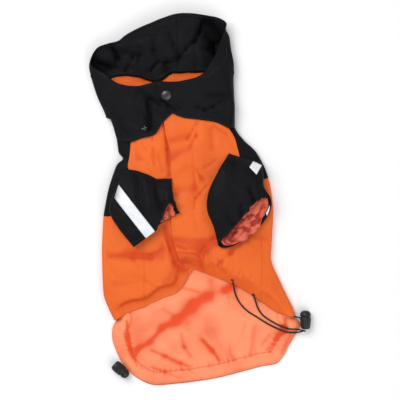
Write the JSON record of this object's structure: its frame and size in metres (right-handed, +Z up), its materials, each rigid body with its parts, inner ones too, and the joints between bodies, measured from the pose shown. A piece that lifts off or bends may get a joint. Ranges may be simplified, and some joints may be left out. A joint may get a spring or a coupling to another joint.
{
  "type": "dog coat",
  "caption": "Hooded raincoat for a small dog, laid flat chest side up, with two leg sleeves, a lapped front, a throat snap and a drawcord hem.",
  "frame": {"origin": "centre of the coat's outline on the surface it lies on, cords and cord locks left out", "axes": "+X across the coat to the side with the drawcord, +Y from the back hem to the hood, +Z up from the surface, out of the chest side"},
  "size_m": [0.2448, 0.4097, 0.0339],
  "materials": {
    "shell_orange": "matte",
    "lining_coral": "satin",
    "shell_black": "matte",
    "cuff_lining_coral": "satin",
    "reflective_tape": "satin",
    "black_plastic": "gloss",
    "black_cord": "matte"
  },
  "bodies": {
    "root": {"back_panel": "shell_orange", "back_lining": "lining_coral", "yoke": "shell_black", "yoke_lining": "shell_orange", "front_left": "shell_orange", "front_right": "shell_orange", "hood_left": "shell_black", "hood_right": "shell_black", "sleeve_left": "shell_black", "sleeve_right": "shell_black", "cuff_lining_left": "cuff_lining_coral", "cuff_lining_right": "cuff_lining_coral", "tape_sleeve_left": "reflective_tape", "tape_shoulder_right": "reflective_tape", "throat_snap": "black_plastic", "cord_lock_right_barrel": "black_plastic", "cord_lock_right_button": "black_plastic", "cord_lock_left_barrel": "black_plastic", "cord_lock_left_button": "black_plastic", "drawcord_long": "black_cord", "drawcord_short": "black_cord"}
  },
  "joints": []
}
